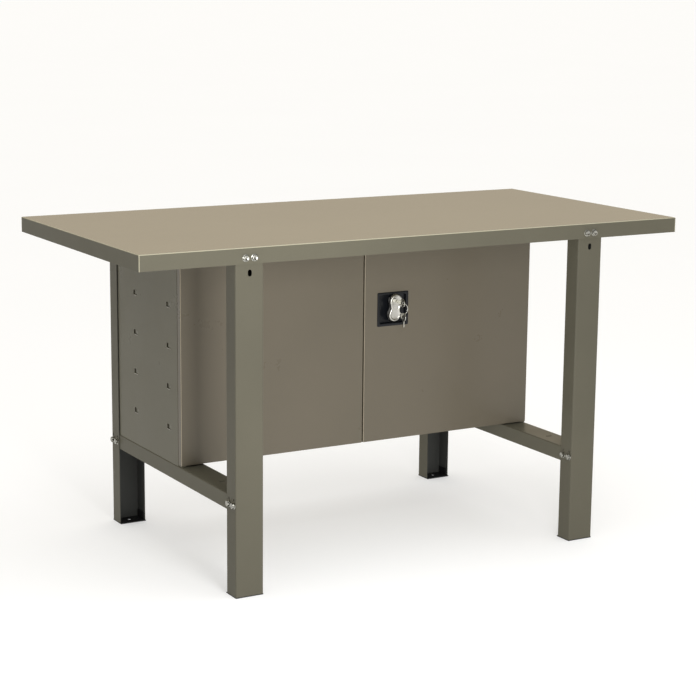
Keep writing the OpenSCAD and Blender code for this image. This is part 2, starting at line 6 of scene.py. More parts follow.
import bmesh
import bpy
from mathutils import Matrix, Vector
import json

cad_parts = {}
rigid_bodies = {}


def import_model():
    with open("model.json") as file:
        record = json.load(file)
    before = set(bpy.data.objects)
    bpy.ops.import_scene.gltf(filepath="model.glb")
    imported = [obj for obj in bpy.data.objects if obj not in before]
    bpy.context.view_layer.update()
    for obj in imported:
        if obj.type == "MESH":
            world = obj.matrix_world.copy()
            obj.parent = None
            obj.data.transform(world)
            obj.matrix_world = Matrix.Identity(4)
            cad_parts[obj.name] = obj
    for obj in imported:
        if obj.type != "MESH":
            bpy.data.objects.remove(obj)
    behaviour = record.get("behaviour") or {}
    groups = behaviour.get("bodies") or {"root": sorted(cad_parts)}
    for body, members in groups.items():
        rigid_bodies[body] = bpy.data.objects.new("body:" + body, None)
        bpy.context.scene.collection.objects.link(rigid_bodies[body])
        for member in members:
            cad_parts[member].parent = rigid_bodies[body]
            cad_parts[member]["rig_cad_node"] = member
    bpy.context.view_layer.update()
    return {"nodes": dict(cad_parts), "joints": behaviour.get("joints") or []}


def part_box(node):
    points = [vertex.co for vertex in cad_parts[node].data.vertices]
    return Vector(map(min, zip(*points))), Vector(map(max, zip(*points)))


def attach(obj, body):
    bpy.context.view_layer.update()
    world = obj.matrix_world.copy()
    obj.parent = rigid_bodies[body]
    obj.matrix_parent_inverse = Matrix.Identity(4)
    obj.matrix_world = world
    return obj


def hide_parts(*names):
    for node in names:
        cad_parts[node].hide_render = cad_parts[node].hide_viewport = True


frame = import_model()
NODES = frame["nodes"]
JOINT_AT = {joint["name"]: Vector(joint.get("pos_m") or (0, 0, 0)) for joint in frame["joints"]}
MM = 0.001
TURN = 2 * math.pi
random.seed(7)


# ---------- Camera, floor and light ----------

FOCAL_MM = 95.5
SENSOR_MM = 36.0
CAMERA_AT = Vector((-2.3438, -4.0488, 1.4193))
HEADING = math.radians(29.97)
PITCH = math.radians(-11.30)
ROLL = math.radians(0.55)
FLOOR_HALF = 400.0 # wide enough to reach the horizon
CLIP_END = 1000.0


def add_camera():
    reach = math.cos(PITCH)
    forward = Vector((math.sin(HEADING) * reach, math.cos(HEADING) * reach, math.sin(PITCH)))
    level = Vector((math.cos(HEADING), -math.sin(HEADING), 0))
    upright = level.cross(forward)
    right = level * math.cos(ROLL) + upright * math.sin(ROLL)
    up = upright * math.cos(ROLL) - level * math.sin(ROLL)
    data = bpy.data.cameras.new("camera")
    data.lens = FOCAL_MM
    data.sensor_width = SENSOR_MM
    data.clip_end = CLIP_END
    camera = bpy.data.objects.new("camera", data)
    camera.matrix_world = Matrix.Translation(CAMERA_AT) @ Matrix((right, up, -forward)).transposed().to_4x4()
    bpy.context.scene.collection.objects.link(camera)
    bpy.context.scene.camera = camera


def add_softbox(name, at, towards, size, power, mirrored=True):
    data = bpy.data.lights.new(name, "AREA")
    data.shape = "RECTANGLE"
    data.size, data.size_y = size
    data.energy = power
    light = bpy.data.objects.new(name, data)
    light.visible_camera = False
    light.visible_glossy = mirrored
    aim = (Vector(towards) - Vector(at)).to_track_quat("-Z", "Y")
    light.matrix_world = Matrix.Translation(at) @ aim.to_matrix().to_4x4()
    bpy.context.scene.collection.objects.link(light)


def add_world(above, front, left, right, back, low):
    """A soft studio surround: one colour overhead, one for each side of the room and one near the floor."""
    world = bpy.data.worlds.new("studio")
    world.use_nodes = True
    tree = world.node_tree
    direction = tree.nodes.new("ShaderNodeTexCoord").outputs["Generated"]
    axes = tree.nodes.new("ShaderNodeSeparateXYZ")
    tree.links.new(direction, axes.inputs["Vector"])
    colour = None
    # Each colour covers those before it, from nothing at the first value of its axis to all at the second
    sides = (("X", 0.1, 0.8, right), ("Y", -0.1, 0.6, back), ("Z", 0.28, 0.0, low), ("X", -0.1, -0.75, left),
             ("Z", 0.25, 0.8, above))
    for axis, start, end, tint in sides:
        share = tree.nodes.new("ShaderNodeMapRange")
        share.interpolation_type = "SMOOTHSTEP"
        share.inputs["From Min"].default_value = start
        share.inputs["From Max"].default_value = end
        tree.links.new(axes.outputs[axis], share.inputs["Value"])
        mix = tree.nodes.new("ShaderNodeMix")
        mix.data_type = "RGBA"
        tree.links.new(share.outputs["Result"], mix.inputs["Factor"])
        below, over = [socket for socket in mix.inputs if socket.type == "RGBA"]
        below.default_value = (*front, 1)
        over.default_value = (*tint, 1)
        if colour:
            tree.links.new(colour, below)
        colour = [socket for socket in mix.outputs if socket.type == "RGBA"][0]
    tree.links.new(colour, tree.nodes["Background"].inputs["Color"])
    bpy.context.scene.world = world


def add_floor(look):
    grid = bmesh.new()
    bmesh.ops.create_grid(grid, x_segments=8, y_segments=8, size=FLOOR_HALF)
    floor = as_object("studio_floor", grid, look)


# ---------- Materials ----------

BEND_HIGHLIGHT_GAIN = 3.2 # painted highlight: how much lighter the paint is drawn along a bend
BEND_IN = 1.1 * MM # from the worktop's outer faces to the middle of the painted highlight line along its bends
BEND_HALF_W = 0.9 * MM
# Where the doors' painted highlight lines lie in from their side edges, and their half-width
DOOR_BEND_IN = 0.7 * MM
DOOR_BEND_HALF_W = 0.5 * MM
PAINTED_SHADE_TONE = (0.072, 0.074, 0.070) # painted shade: the dark colour inside the legs' channels
BLUR = 0.1 * MM # width of the soft border of the painted shade


class Look:
    """A material: a Principled shader whose inputs come from procedural textures in the bench's frame."""

    def __init__(self, name, **sockets):
        self.material = bpy.data.materials.new(name)
        self.material.use_nodes = True
        self.tree = self.material.node_tree
        self.shader = self.tree.nodes["Principled BSDF"]
        for socket, value in sockets.items():
            self.shader.inputs[socket.replace("_", " ")].default_value = value
        where = self.tree.nodes.new("ShaderNodeTexCoord").outputs
        self.place = where["Object"]
        self.facing = where["Normal"]
        self.normal = None

    def node(self, kind, links=None, **settings):
        made = self.tree.nodes.new("ShaderNode" + kind)
        for name, value in settings.items():
            setattr(made, name, value)
        for socket, value in (links or {}).items():
            if isinstance(value, bpy.types.NodeSocket):
                self.tree.links.new(value, made.inputs[socket])
            else:
                made.inputs[socket].default_value = value
        return made

    def stretched(self, scale):
        return self.node("Mapping", {"Vector": self.place, "Scale": scale}).outputs["Vector"]

    def noise(self, scale, detail=2.0, roughness=0.5, vector=None):
        links = {"Vector": vector or self.place, "Scale": scale, "Detail": detail, "Roughness": roughness}
        return self.node("TexNoise", links).outputs["Fac"]

    def cells(self, scale):
        return self.node("TexVoronoi", {"Vector": self.place, "Scale": scale}).outputs["Distance"]

    def remap(self, value, low, high, to_low, to_high):
        links = {"Value": value, "From Min": low, "From Max": high, "To Min": to_low, "To Max": to_high}
        return self.node("MapRange", links).outputs["Result"]

    def maths(self, operation, a, b=0.0):
        return self.node("Math", {0: a, 1: b}, operation=operation).outputs["Value"]

    def distance(self, value, place):
        """How far the value's size, whatever its sign, is from the place."""
        return self.maths("ABSOLUTE", self.maths("SUBTRACT", self.maths("ABSOLUTE", value), place))

    def blend(self, factor, a, b):
        made = self.node("Mix", {"Factor": factor}, data_type="RGBA")
        for socket, value in zip([s for s in made.inputs if s.type == "RGBA"], (a, b)):
            if isinstance(value, bpy.types.NodeSocket):
                self.tree.links.new(value, socket)
            else:
                socket.default_value = (*value, 1)
        return [s for s in made.outputs if s.type == "RGBA"][0]

    def bump(self, height, distance, strength=1.0):
        links = {"Height": height, "Distance": distance, "Strength": strength}
        if self.normal:
            links["Normal"] = self.normal
        self.normal = self.node("Bump", links).outputs["Normal"]
        self.feed("Normal", self.normal)

    def feed(self, socket, value):
        self.tree.links.new(value, self.shader.inputs[socket])


def powder_coat(name, dark, light, rough, specular, highlight_bends=(), inside=None, level_rough=None, wave=0.3 * MM):
    """Powder coat: cloudy colour, fine specks, orange peel and the faint waves of thin sheet.
    It has a painted highlight along the bends, each given by its axis, its distance from 0 and its
    half-width.
    It is darkened with painted shade inside a channel, given by its middle and half-width in X and its depth
    in Y.
    A level top can have its own roughness."""
    look = Look(name, Specular_IOR_Level=specular)
    tint = look.blend(look.remap(look.noise(2.3, 4.0, 0.6), 0.35, 0.65, 0.0, 1.0), dark, light)
    shade = tuple(channel * 0.8 for channel in dark)
    tint = look.blend(look.remap(look.noise(900.0), 0.58, 0.75, 0.0, 0.5), tint, shade)
    axes = look.node("SeparateXYZ", {"Vector": look.place}).outputs
    # Painted highlight: the colour is lightened along each bend, where the light would catch it
    for axis, place, half_w in highlight_bends:
        painted_highlight = look.remap(look.distance(axes[axis], place), half_w, half_w * 0.5, 0.0, 1.0)
        tint = look.blend(painted_highlight, tint, tuple(channel * BEND_HIGHLIGHT_GAIN for channel in light))
    # Painted shade: the inside of the channel is darkened, where shade falls
    if inside:
        middle, half_w, depth = inside
        between = look.remap(look.distance(axes["X"], middle), half_w + BLUR, half_w, 0.0, 1.0)
        within = look.remap(look.maths("ABSOLUTE", axes["Y"]), depth + BLUR, depth, 0.0, 1.0)
        tint = look.blend(look.maths("MULTIPLY", between, within), tint, PAINTED_SHADE_TONE)
    look.feed("Base Color", tint)
    cloud = look.noise(9.0, 5.0, 0.65)
    roughness = look.remap(cloud, 0.3, 0.7, *rough)
    if level_rough:
        facing = look.node("SeparateXYZ", {"Vector": look.facing}).outputs["Z"]
        roughness = look.remap(facing, 0.7, 0.9, roughness, look.remap(cloud, 0.3, 0.7, *level_rough))
        look.feed("Specular IOR Level", look.remap(facing, 0.7, 0.9, specular * 0.3, specular))
    look.feed("Roughness", roughness)
    look.bump(look.noise(4.0, 1.0), wave, 0.4)
    look.bump(look.noise(420.0, 2.0, 0.55), 0.03 * MM, 0.7)
    return look.material


def zinc_plate(name):
    """Bright zinc: a cold metal with a faint straw and blue bloom and fine tool marks."""
    look = Look(name, Metallic=1.0)
    bloom = look.remap(look.noise(160.0, 3.0, 0.6), 0.35, 0.65, 0.0, 1.0)
    look.feed("Base Color", look.blend(bloom, (0.30, 0.30, 0.28), (0.44, 0.43, 0.38)))
    look.feed("Roughness", look.remap(look.noise(500.0, 4.0, 0.7), 0.3, 0.7, 0.14, 0.30))
    look.bump(look.noise(1.0, 3.0, 0.6, look.stretched((300.0, 300.0, 2400.0))), 0.02 * MM, 0.6)
    return look.material


def satin_nickel(name, tone, rough):
    """Nickel plate with the soft sheen of a tumbled casting."""
    look = Look(name, Metallic=1.0)
    cloud = look.remap(look.noise(120.0, 4.0, 0.6), 0.35, 0.65, 0.0, 1.0)
    look.feed("Base Color", look.blend(cloud, tuple(channel * 0.9 for channel in tone), tone))
    look.feed("Roughness", look.remap(look.noise(700.0, 3.0, 0.6), 0.3, 0.7, *rough))
    look.bump(look.noise(2200.0, 2.0), 0.01 * MM, 0.5)
    return look.material


def black_gloss(name):
    """Black enamel on the lock's dished plate: near-mirror with a little dust and swirl."""
    look = Look(name, Coat_Weight=0.1, Coat_Roughness=0.06, Specular_IOR_Level=0.2)
    dust = look.remap(look.noise(1400.0, 3.0, 0.7), 0.6, 0.8, 0.0, 0.5)
    look.feed("Base Color", look.blend(dust, (0.008, 0.009, 0.011), (0.03, 0.03, 0.034)))
    look.feed("Roughness", look.remap(look.noise(90.0, 5.0, 0.65), 0.3, 0.7, 0.12, 0.3))
    look.bump(look.noise(300.0, 2.0), 0.015 * MM, 0.5)
    return look.material


def matt_black(name, tone, rough, grain, depth):
    """Black foot paint, rubber or nylon: a matt dark skin with a fine grain."""
    look = Look(name, Specular_IOR_Level=0.35)
    wear = look.remap(look.noise(60.0, 5.0, 0.65), 0.5, 0.75, 0.0, 0.6)
    look.feed("Base Color", look.blend(wear, tone, tuple(channel * 2.2 for channel in tone)))
    look.feed("Roughness", look.remap(look.noise(200.0, 3.0), 0.3, 0.7, *rough))
    look.bump(look.cells(grain), depth, 0.5)
    return look.material


def floor_look():
    """A sheet of white acrylic lit from below, so that the bench casts only a faint shadow."""
    look = Look("light_table", Roughness=0.9, Specular_IOR_Level=0.1, Emission_Color=(1, 1, 1, 1),
                Emission_Strength=0.42)
    look.feed("Base Color", look.blend(look.noise(0.6, 2.0), (0.60, 0.60, 0.60), (0.62, 0.62, 0.62)))
    return look.material


# ---------- Mesh tools ----------

def as_object(name, mesh, look):
    bmesh.ops.recalc_face_normals(mesh, faces=mesh.faces)
    data = bpy.data.meshes.new(name)
    mesh.to_mesh(data)
    mesh.free()
    data.materials.append(look)
    made = bpy.data.objects.new(name, data)
    bpy.context.scene.collection.objects.link(made)
    return made


def round_edges(piece, width, segments=2, angle=35):
    """Breaks the sharp edges and keeps the flats flat."""
    bevel = piece.modifiers.new("edge", "BEVEL")
    bevel.width = width
    bevel.segments = segments
    bevel.limit_method = "ANGLE"
    bevel.angle_limit = math.radians(angle)
    if "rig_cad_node" not in piece:
        for face in piece.data.polygons:
            face.use_smooth = True
    flats = piece.modifiers.new("flats", "WEIGHTED_NORMAL")
    flats.weight = 80
    flats.keep_sharp = False


def dress(node, look, edge=0.0):
    """Gives a CAD node its material and, where its folded edges show, a small round on them."""
    piece = NODES[node]
    for slot in piece.material_slots:
        slot.material = look
    if edge:
        weld = piece.modifiers.new("weld", "WELD")
        weld.merge_threshold = 0.002 * MM
        round_edges(piece, edge)


def skin(mesh, rings, loop=False):
    """Adds faces between neighbouring rings of points and returns the rings' vertices."""
    rows = [[mesh.verts.new(point) for point in ring] for ring in rings]
    for low, high in list(zip(rows, rows[1:])) + ([(rows[-1], rows[0])] if loop else []):
        for i, corner in enumerate(low):
            j = (i + 1) % len(low)
            mesh.faces.new((corner, low[j], high[j], high[i]))
    return rows


def ring_edges(mesh, ring):
    return [mesh.edges.get((a, b)) or mesh.edges.new((a, b)) for a, b in zip(ring, ring[1:] + ring[:1])]


def fill_between(mesh, outer, inner):
    """Fills the flat face between an outline and the hole in it."""
    edges = ring_edges(mesh, outer) + ring_edges(mesh, inner)
    bmesh.ops.triangle_fill(mesh, use_beauty=True, edges=edges)


def circle(radius, count):
    return [(radius * math.cos(TURN * i / count), radius * math.sin(TURN * i / count)) for i in range(count)]


def arc(centre, radius, start, end, steps):
    """Points of an arc from one angle to another, without its last point."""
    angles = [start + (end - start) * i / steps for i in range(steps)]
    return [(centre[0] + radius * math.cos(a), centre[1] + radius * math.sin(a)) for a in angles]


def rounded_rectangle(half_w, half_h, radius, steps=6):
    points = []
    for quarter, (x, y) in enumerate(((1, 1), (-1, 1), (-1, -1), (1, -1))):
        centre = (x * (half_w - radius), y * (half_h - radius))
        start = quarter * TURN / 4
        end = start + TURN / 4
        points += arc(centre, radius, start, end, steps)
        points.append((centre[0] + radius * math.cos(end), centre[1] + radius * math.sin(end)))
    return points


def smooth_object(name, mesh, look, angle=40):
    """An object with smooth shading that keeps its creases sharper than the angle."""
    bmesh.ops.recalc_face_normals(mesh, faces=mesh.faces)
    for face in mesh.faces:
        face.smooth = True
    for edge in mesh.edges:
        edge.smooth = len(edge.link_faces) == 2 and edge.calc_face_angle() < math.radians(angle)
    return as_object(name, mesh, look)


def stand_in(piece, body, slot, *nodes):
    """The piece rides on the body and stands for the nodes, which are hidden. The slot is not used."""
    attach(piece, body)
    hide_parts(*nodes)


# ---------- Bolts and nuts ----------

BOLT_POINTS = 48
HEX_CHAMFER = math.radians(30)


def hex_ring(flats, height, limit):
    """One ring of a hexagon whose corners are turned down to the limiting radius."""
    ring = []
    for i in range(BOLT_POINTS):
        angle = TURN * i / BOLT_POINTS
        corner = flats / 2 / math.cos(angle % (TURN / 6) - TURN / 12)
        radius = min(corner, limit)
        ring.append(Vector((radius * math.cos(angle), radius * math.sin(angle), height)))
    return ring


def round_ring(radius, height):
    return [Vector((x, y, height)) for x, y in circle(radius, BOLT_POINTS)]


def hex_rings(flats, low, high):
    """Rings of a hexagon prism between two heights, its upper corners chamfered."""
    face = flats / 2 * 0.94
    drop = (flats / 2 / math.cos(TURN / 12) - face) * math.tan(HEX_CHAMFER)
    heights = [low, high - drop] + [high - drop * (1 - step / 6) for step in range(1, 7)]
    return [hex_ring(flats, z, face + (high - z) / math.tan(HEX_CHAMFER)) for z in heights]


def thread_rings(radius, length, pitch):
    """Rings of a threaded shank that ends at the given length below Z = 0."""
    rings = []
    steps = int(length / pitch * 6)
    for step in range(steps + 1):
        z = -length + length * step / steps
        taper = max(0.0, 1.2 * pitch - length * step / steps) * 0.6
        ring = []
        for i in range(BOLT_POINTS):
            phase = (z / pitch - i / BOLT_POINTS) % 1.0
            depth = 0.5 * pitch * (1 - abs(2 * phase - 1))
            angle = TURN * i / BOLT_POINTS
            reach = radius - depth - taper
            ring.append(Vector((reach * math.cos(angle), reach * math.sin(angle), z)))
        rings.append(ring)
    return rings


def add_bolt(mesh, place, size, flats, head_h, length, flange=0.0):
    """Adds one bolt of metric size to the mesh, seated on Z = 0 of its place."""
    rings = thread_rings(size / 2, length, size * 0.156)
    base = 0.0
    if flange:
        base = 1.4 * MM
        rings += [round_ring(flange * 0.97, 0.0), round_ring(flange, 0.2 * MM), round_ring(flange, 0.7 * MM)]
        rings += [round_ring(flange * 0.94, 1.0 * MM)]
    else:
        rings += [round_ring(flats * 0.46, 0.0)]
    rings += hex_rings(flats, base, base + head_h)
    rings += [round_ring(flats * 0.34, base + head_h), round_ring(flats * 0.30, base + head_h - 0.35 * MM)]
    rows = skin(mesh, [[place @ point for point in ring] for ring in rings])
    mesh.faces.new(rows[0])
    mesh.faces.new(rows[-1])


def add_nut(mesh, place, size, flats, height):
    """Adds one nut to the mesh, its seat on Z = 0 of its place and its body below."""
    bore = size / 2
    outer = hex_rings(flats, 0.0, height)
    flip = Matrix.Rotation(math.pi, 4, "X")
    inner = [round_ring(bore + 0.5 * MM, height), round_ring(bore, height - 0.5 * MM), round_ring(bore, 0.0)]
    rings = [[place @ flip @ point for point in ring] for ring in outer + inner]
    skin(mesh, rings, loop=True)


def turned(at, x_axis, z_axis):
    """A placing matrix from a point, the direction of X and the direction of Z."""
    z_axis = Vector(z_axis)
    x_axis = Vector(x_axis)
    turn = Matrix((x_axis, z_axis.cross(x_axis), z_axis)).transposed()
    return Matrix.Translation(at) @ turn.to_4x4()


def spin(degrees):
    return Matrix.Rotation(math.radians(degrees), 4, "Z")


BENCH_HALF_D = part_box("worktop")[1].y
APRON_BOLT_X = 478 * MM
APRON_BOLT_PITCH = 22 * MM
APRON_BOLT_Z = 801 * MM
LEG_X = 479 * MM
LEG_HALF_W = 36 * MM
SHEET_TOP = 1.5 * MM
SHEET_LEG = 2 * MM
STRETCHER_BOLT_Y = (356 * MM, 331 * MM)
STRETCHER_BOLT_Z = 223 * MM
CABINET_BOLT_Y = (30 * MM, 250 * MM)
CABINET_BOLT_Z = 244 * MM
CABINET_NUT_Z = 241 * MM
M8 = dict(size=8 * MM, flats=13 * MM)
M8_HEAD_H = 5.3 * MM
M8_NUT_H = 6.5 * MM
FLANGE_R = 8.5 * MM
M6 = dict(size=6 * MM, flats=10 * MM)
M6_HEAD_H = 4 * MM
M6_NUT_H = 5 * MM
APRON_BOLT_L = 14 * MM
STRETCHER_BOLT_L = 13 * MM
CABINET_BOLT_L = 12 * MM


def apron_places(depth):
    """Where the apron's bolts sit on the front and rear aprons, or their nuts a depth inside."""
    for sx in (-1, 1):
        for sy in (-1, 1):
            for side in (-1, 1):
                x = sx * APRON_BOLT_X + side * APRON_BOLT_PITCH / 2
                at = (x, sy * (BENCH_HALF_D - depth), APRON_BOLT_Z)
                yield turned(at, (1, 0, 0), (0, sy, 0)) @ spin(random.uniform(0, 60))


def stretcher_places(depth):
    """Where the stretchers' bolts sit on the left faces of the legs, or their nuts a depth inside."""
    for sx in (-1, 1):
        for sy in (-1, 1):
            for y in STRETCHER_BOLT_Y:
                at = (sx * LEG_X - LEG_HALF_W + depth, sy * y, STRETCHER_BOLT_Z)
                yield turned(at, (0, 1, 0), (-1, 0, 0)) @ spin(random.uniform(0, 60))


def cabinet_places(height):
    for sx in (-1, 1):
        for y in CABINET_BOLT_Y:
            yield turned((sx * LEG_X, y, height), (1, 0, 0), (0, 0, 1)) @ spin(random.uniform(0, 60))


def add_set(name, node, places, build, look, **sizes):
    """One mesh of equal fasteners, which stands for one CAD node."""
    mesh = bmesh.new()
    for place in places:
        build(mesh, place, **sizes)
    stand_in(smooth_object(name, mesh, look), "frame", "zinc", node)


def add_fasteners(look):
    flange_bolt = dict(M8, head_h=M8_HEAD_H, flange=FLANGE_R)
    m8_nut = dict(M8, height=M8_NUT_H)
    hex_bolt = dict(M6, head_h=M6_HEAD_H, length=CABINET_BOLT_L)
    m6_nut = dict(M6, height=M6_NUT_H)
    in_apron = SHEET_TOP + SHEET_LEG
    in_leg = 2 * SHEET_LEG
    add_set("apron_flange_bolts", "apron_bolts", apron_places(0), add_bolt, look, length=APRON_BOLT_L,
            **flange_bolt)
    add_set("apron_hex_nuts", "apron_nuts", apron_places(in_apron), add_nut, look, **m8_nut)
    add_set("stretcher_flange_bolts", "stretcher_bolts", stretcher_places(0), add_bolt, look,
            length=STRETCHER_BOLT_L, **flange_bolt)
    add_set("stretcher_hex_nuts", "stretcher_nuts", stretcher_places(in_leg), add_nut, look, **m8_nut)
    add_set("cabinet_hex_bolts", "cabinet_bolts", cabinet_places(CABINET_BOLT_Z), add_bolt, look, **hex_bolt)
    add_set("cabinet_hex_nuts", "cabinet_nuts", cabinet_places(CABINET_NUT_Z), add_nut, look, **m6_nut)


# ---------- Shelf tabs ----------

TAB_ROWS = [(332 + 102 * row) * MM for row in range(4)]
TAB_COLUMNS = (6 * MM, 206 * MM)
TAB_HALF_L = 12 * MM
TAB_HALF_H = 6 * MM
LIP_R = 0.9 * MM


def add_tab_lips(side, look):
    """The rolled burr that the punch leaves along the lower edge of each tab's window."""
    low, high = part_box("cabinet_side_" + side)
    sign = -1 if side == "left" else 1
    face_x = low.x if side == "left" else high.x
    mesh = bmesh.new()
    for y in TAB_COLUMNS:
        for z in TAB_ROWS:
            rings = []
            for step in range(13):
                along = -1 + step / 6
                thick = LIP_R * math.sqrt(max(0.04, 1 - abs(along) ** 5))
                centre = Vector((face_x, y + along * TAB_HALF_L, z - TAB_HALF_H - LIP_R * 0.6))
                rings.append([centre + Vector((sign * thick * a, 0, thick * b)) for a, b in circle(1.0, 12)])
            rows = skin(mesh, rings)
            mesh.faces.new(rows[0])
            mesh.faces.new(rows[-1])
    lips = smooth_object("shelf_tab_lips_" + side, mesh, look)
    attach(lips, "frame")


# ---------- Lock ----------

LOCK = JOINT_AT["handle_turn"]
HANDLE_HEAD_R = 18 * MM
HANDLE_FOOT_R = 17 * MM
HANDLE_REACH = 35 * MM
HANDLE_WAIST_R = 22 * MM
HANDLE_LEAN = math.radians(7)
BARREL_R = 9 * MM


def handle_outline(inset):
    """The handle's outline drawn inwards by the inset: round head, round foot and two waist arcs."""
    to_head = HANDLE_HEAD_R + HANDLE_WAIST_R
    to_foot = HANDLE_FOOT_R + HANDLE_WAIST_R
    waist_z = (to_foot ** 2 - to_head ** 2 - HANDLE_REACH ** 2) / (2 * HANDLE_REACH)
    waist_x = math.sqrt(to_head ** 2 - waist_z ** 2)
    head_angle = math.atan2(waist_z, waist_x)
    foot_angle = math.atan2(waist_z + HANDLE_REACH, waist_x)
    waist_r = HANDLE_WAIST_R + inset
    points = arc((0, 0), HANDLE_HEAD_R - inset, head_angle, math.pi - head_angle, 40)
    points += arc((-waist_x, waist_z), waist_r, -head_angle, -foot_angle, 14)
    points += arc((0, -HANDLE_REACH), HANDLE_FOOT_R - inset, math.pi - foot_angle, TURN + foot_angle, 36)
    points += arc((waist_x, waist_z), waist_r, math.pi + foot_angle, math.pi + head_angle, 14)
    return points


def add_turn_handle(look):
    low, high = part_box("turn_handle")
    back = high.y
    thick = (high.y - low.y) / MM
    # Inset from the outline and rise from the back, both in millimetres: rounded rim, then a sunk face
    profile = ((0.8, 0.0), (0.2, 0.25), (0.0, 0.9), (0.0, thick - 4.0), (0.3, thick - 2.4),
               (1.0, thick - 1.1), (2.0, thick - 0.3), (3.0, thick), (3.9, thick - 0.25),
               (4.6, thick - 0.9), (5.4, thick - 1.5), (6.2, thick - 1.7))
    lean = Matrix.Rotation(HANDLE_LEAN, 3, "Y")

    def placed(outline, y):
        return [LOCK + lean @ Vector((x, 0, z)) + Vector((0, y - LOCK.y, 0)) for x, z in outline]

    mesh = bmesh.new()
    rows = skin(mesh, [placed(handle_outline(inset * MM), back - rise * MM) for inset, rise in profile])
    face_y = back - profile[-1][1] * MM
    bore = [placed(circle(BARREL_R, 48), y) for y in (face_y, back)]
    bore_rows = skin(mesh, bore)
    fill_between(mesh, rows[-1], bore_rows[0])
    fill_between(mesh, rows[0], bore_rows[1])
    stand_in(smooth_object("turn_handle_cast", mesh, look, 50), "handle", "handle_metal", "turn_handle")


def add_lock_plate(look):
    low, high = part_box("lock_plate")
    middle = (low + high) / 2
    half_w, half_h = (high.x - low.x) / 2, (high.z - low.z) / 2
    rim = 1.6
    floor_y = 9.0
    wall = 1.4
    door_y = low.y + rim * MM
    # Inset from the edge, corner radius and distance behind the door's face, all in millimetres
    front = ((0.0, 3.0, 0.0), (0.0, 3.0, -0.9), (0.25, 2.8, -1.35), (0.8, 2.5, -rim), (5.6, 2.5, -rim),
             (6.4, 3.5, -1.45), (6.9, 4.0, -1.0), (7.1, 4.2, 0.0), (7.8, 5.0, 7.6), (8.4, 5.4, 8.6),
             (9.6, 6.0, floor_y))
    rear = ((8.2, 6.0, floor_y + wall), (7.0, 5.4, floor_y + wall - 0.6), (6.4, 5.0, floor_y - 0.8),
            (5.8, 4.2, 0.0))

    def outline(inset, radius, y):
        points = rounded_rectangle(half_w - inset * MM, half_h - inset * MM, radius * MM)
        return [Vector((middle.x + x, door_y + y * MM, middle.z + z)) for x, z in points]

    def round_outline(radius, y):
        return [Vector((LOCK.x + x, door_y + y * MM, LOCK.z + z)) for x, z in circle(radius * MM, 48)]

    mesh = bmesh.new()
    front_rows = skin(mesh, [outline(*ring) for ring in front])
    rear_rows = skin(mesh, [outline(*ring) for ring in rear])
    for i, corner in enumerate(front_rows[0]):
        j = (i + 1) % len(front_rows[0])
        mesh.faces.new((corner, front_rows[0][j], rear_rows[-1][j], rear_rows[-1][i]))
    collar = ((13.0, floor_y), (12.6, floor_y - 0.5), (9.8, floor_y - 0.5), (9.2, floor_y),
              (9.2, floor_y + wall))
    collar_rows = skin(mesh, [round_outline(*ring) for ring in collar])
    fill_between(mesh, front_rows[-1], collar_rows[0])
    fill_between(mesh, rear_rows[0], collar_rows[-1])
    stand_in(smooth_object("lock_dish_plate", mesh, look), "door_right", "lock_plastic", "lock_plate")


# ---------- Keys ----------

KEY_T = 2 * MM
BOW_R = 11 * MM
BOW_OFFSET = 5.4 * MM
BOW_HOLE_R = 4.2 * MM
BLADE_HALF_W = 4 * MM
CUT_DEPTHS = (1.2 * MM, 2.4 * MM, 0.8 * MM, 1.9 * MM, 1.4 * MM)


def key_outline(tip):
    """A key with its hole at the origin and its blade along U, cut on one edge."""
    neck = math.asin(BLADE_HALF_W / BOW_R)
    points = arc((BOW_OFFSET, 0), BOW_R, neck, TURN - neck, 44)
    root = BOW_OFFSET + BOW_R * math.cos(neck)
    shoulder = root + 3 * MM
    step = 0.6 * MM
    points += [(root, -BLADE_HALF_W), (shoulder, -BLADE_HALF_W), (shoulder + step, -BLADE_HALF_W + step)]
    points += [(tip - 2.5 * MM, -BLADE_HALF_W + step), (tip, -BLADE_HALF_W / 4), (tip, BLADE_HALF_W / 4)]
    points += [(tip - 2 * MM, BLADE_HALF_W * 0.7)]
    first = tip - 4 * MM
    pitch = 3 * MM
    for i, depth in enumerate(CUT_DEPTHS):
        centre = first - i * pitch
        if centre - pitch < shoulder:
            break
        points += [(centre + pitch * 0.32, BLADE_HALF_W), (centre + pitch * 0.12, BLADE_HALF_W - depth),
                   (centre - pitch * 0.12, BLADE_HALF_W - depth), (centre - pitch * 0.32, BLADE_HALF_W)]
    points += [(shoulder, BLADE_HALF_W)]
    return points


def add_key(name, body, node, hole, along, across, tip, look):
    """Builds a flat key whose plane is spanned by the directions along and across."""
    along, across = Vector(along), Vector(across)
    side = along.cross(across) * KEY_T / 2
    mesh = bmesh.new()
    outer, inner = [], []
    for sign in (-1, 1):
        outer.append([hole + u * along + v * across + sign * side for u, v in key_outline(tip)])
        inner.append([hole + u * along + v * across + sign * side for u, v in circle(BOW_HOLE_R, 32)])
    outer_rows = skin(mesh, outer)
    inner_rows = skin(mesh, inner)
    for outside, inside in zip(outer_rows, inner_rows):
        fill_between(mesh, outside, inside)
    piece = as_object(name, mesh, look)
    round_edges(piece, 0.3 * MM, segments=2, angle=50)
    stand_in(piece, body, "key_metal", node)


